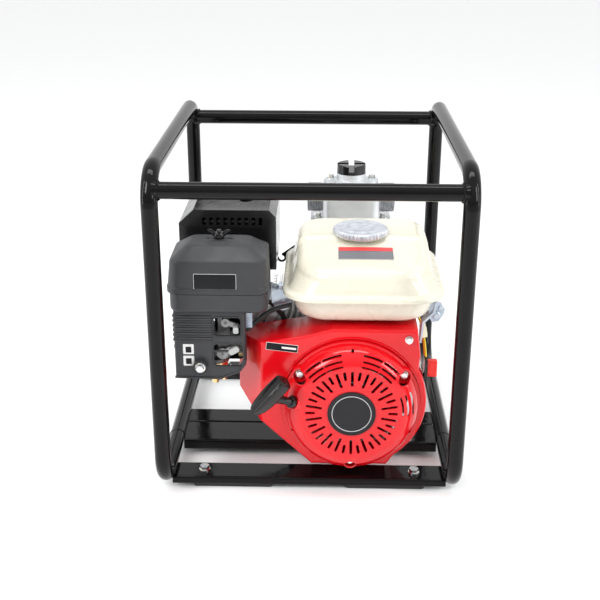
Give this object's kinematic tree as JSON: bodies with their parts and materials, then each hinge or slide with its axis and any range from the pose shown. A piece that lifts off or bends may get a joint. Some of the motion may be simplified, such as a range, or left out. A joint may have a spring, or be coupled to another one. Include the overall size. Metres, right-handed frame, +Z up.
{
  "type": "gas engine trash pump",
  "caption": "Petrol-engine centrifugal water pump in an open tube carrying frame: recoil starter, fuel tank, air cleaner, guarded muffler, and a discharge head with threaded side outlets.",
  "frame": {"origin": "on the ground, at the centre of the carrying frame's footprint", "axes": "+X to the right as seen from the recoil starter, +Y from the recoil starter to the pump along the crank axis, +Z up"},
  "size_m": [0.4238, 0.4756, 0.4795],
  "materials": {
    "frame_paint": "gloss black enamel",
    "rubber": "matte black",
    "zinc_steel": "bright zinc plate",
    "cast_aluminium": "blasted casting",
    "pump_aluminium": "as cast",
    "bearing_steel": "ground",
    "cast_iron": "as cast",
    "piston_aluminium": "machined",
    "red_paint": "gloss red enamel",
    "cream_paint": "gloss cream enamel",
    "cap_metal": "bright satin plate",
    "black_plastic": "semi gloss black",
    "red_plastic": "bright red",
    "lever_plastic": "pale grey",
    "cleaner_plastic": "dark grey satin",
    "filter_foam": "open foam",
    "muffler_paint": "satin heat resistant black",
    "valve_cover_paint": "satin black",
    "brass": "pressed, passivated",
    "badge": "dark grey disc, left blank",
    "bracket_steel": "black painted pressing",
    "plug_ceramic": "white insulator",
    "wire_yellow": "yellow sleeving",
    "flap_rubber": "black nitrile"
  },
  "bodies": {
    "root": {"air_cleaner_base": "cleaner_plastic", "air_filter_element": "filter_foam", "carburettor": "cast_aluminium", "crank_bearings": "bearing_steel", "crankcase": "cast_aluminium", "crankcase_cover": "cast_aluminium", "cylinder_head": "cast_aluminium", "discharge_manifold": "cast_aluminium", "end_channels": "frame_paint", "engine_channels": "frame_paint", "engine_switch": "black_plastic", "fan_housing": "red_paint", "float_bowl": "brass", "frame_bolts": "zinc_steel", "frame_cross_bar_front": "frame_paint", "frame_cross_bar_rear": "frame_paint", "frame_hoop_left": "frame_paint", "frame_hoop_right": "frame_paint", "fuel_hose": "rubber", "fuel_tank": "cream_paint", "governor_bracket": "zinc_steel", "governor_springs": "zinc_steel", "housing_bolts": "zinc_steel", "ignition_lead": "rubber", "lever_pins": "zinc_steel", "manifold_bolts": "zinc_steel", "manifold_cap": "cast_aluminium", "mechanical_seal": "bearing_steel", "muffler": "muffler_paint", "muffler_guard": "muffler_paint", "pump_bracket": "pump_aluminium", "pump_casing": "pump_aluminium", "recoil_badge": "badge", "recoil_housing": "red_paint", "rubber_feet": "rubber", "spark_plug": "plug_ceramic", "spark_plug_cap": "black_plastic", "switch_wires": "wire_yellow", "tank_brackets": "zinc_steel", "threaded_ports": "cast_aluminium", "valve_cover": "valve_cover_paint"},
    "rotor": {"crankshaft": "bearing_steel", "flywheel": "cast_iron", "starter_cup": "bearing_steel", "impeller": "cast_iron"},
    "piston": {"piston": "piston_aluminium"},
    "handle": {"pull_handle": "black_plastic"},
    "reel": {"rope_reel": "black_plastic"},
    "choke": {"choke_lever": "lever_plastic"},
    "fuel_tap": {"fuel_lever": "lever_plastic"},
    "throttle": {"throttle_lever": "bracket_steel"},
    "switch": {"switch_knob": "red_plastic"},
    "tank_cap": {"fuel_cap": "cap_metal"},
    "cleaner_cover": {"air_cleaner_cover": "cleaner_plastic"},
    "wing_nut": {"wing_nut": "black_plastic"},
    "primer": {"priming_plug": "black_plastic"},
    "drain": {"drain_plug": "zinc_steel"},
    "dipstick": {"oil_dipstick": "black_plastic"},
    "flap": {"suction_flap": "flap_rubber"}
  },
  "joints": [
    {"name": "crank_rotation", "type": "hinge", "parent": "root", "child": "rotor", "pos_m": [0.058, 0, 0.1295], "axis": [0, 1, 0], "continuous": true},
    {"name": "piston_stroke", "type": "slide", "parent": "root", "child": "piston", "axis": [-0.9063, 0, 0.4226], "range_m": [-0.054, 0]},
    {"name": "handle_pull", "type": "slide", "parent": "root", "child": "handle", "axis": [-0.7475, -0.4792, 0.46], "range_m": [0, 0.5]},
    {"name": "reel_turn", "type": "hinge", "parent": "root", "child": "reel", "pos_m": [0.058, 0, 0.1295], "axis": [0, 1, 0], "range_deg": [0, 850]},
    {"name": "choke_swing", "type": "hinge", "parent": "root", "child": "choke", "pos_m": [-0.115, -0.166, 0.246], "axis": [0, -1, 0], "range_deg": [0, 40]},
    {"name": "fuel_tap_swing", "type": "hinge", "parent": "root", "child": "fuel_tap", "pos_m": [-0.12, -0.166, 0.2], "axis": [0, 1, 0], "range_deg": [0, 40]},
    {"name": "throttle_swing", "type": "hinge", "parent": "root", "child": "throttle", "pos_m": [-0.012, 0.05, 0.29], "axis": [0, -1, 0], "range_deg": [0, 30]},
    {"name": "switch_turn", "type": "hinge", "parent": "root", "child": "switch", "pos_m": [0.166, -0.13, 0.164], "axis": [1, 0, 0], "range_deg": [0, 45]},
    {"name": "tank_cap_turn", "type": "hinge", "parent": "root", "child": "tank_cap", "pos_m": [0.0695, -0.062, 0.342], "axis": [0, 0, 1], "range_deg": [0, 90]},
    {"name": "cover_lift", "type": "slide", "parent": "root", "child": "cleaner_cover", "axis": [0, 0, 1], "range_m": [0, 0.05]},
    {"name": "wing_nut_turn", "type": "hinge", "parent": "cleaner_cover", "child": "wing_nut", "pos_m": [-0.123, -0.142, 0.36], "axis": [0, 0, 1], "continuous": true},
    {"name": "primer_turn", "type": "hinge", "parent": "root", "child": "primer", "pos_m": [0.0608, 0.158, 0.372], "axis": [0, 0, 1], "range_deg": [0, 720]},
    {"name": "drain_turn", "type": "hinge", "parent": "root", "child": "drain", "pos_m": [0.058, 0.195, 0.05], "axis": [0, 1, 0], "range_deg": [0, 720]},
    {"name": "dipstick_turn", "type": "hinge", "parent": "root", "child": "dipstick", "pos_m": [-0.008, -0.062, 0.072], "axis": [-0.9439, 0, 0.3304], "range_deg": [0, 720]},
    {"name": "flap_swing", "type": "hinge", "parent": "root", "child": "flap", "pos_m": [0.058, 0.1825, 0.17], "axis": [-1, 0, 0], "range_deg": [0, 40]}
  ],
  "couplings": [
    {"joint": "reel_turn", "follows": "handle_pull", "rad_per_m": 29.4}
  ]
}
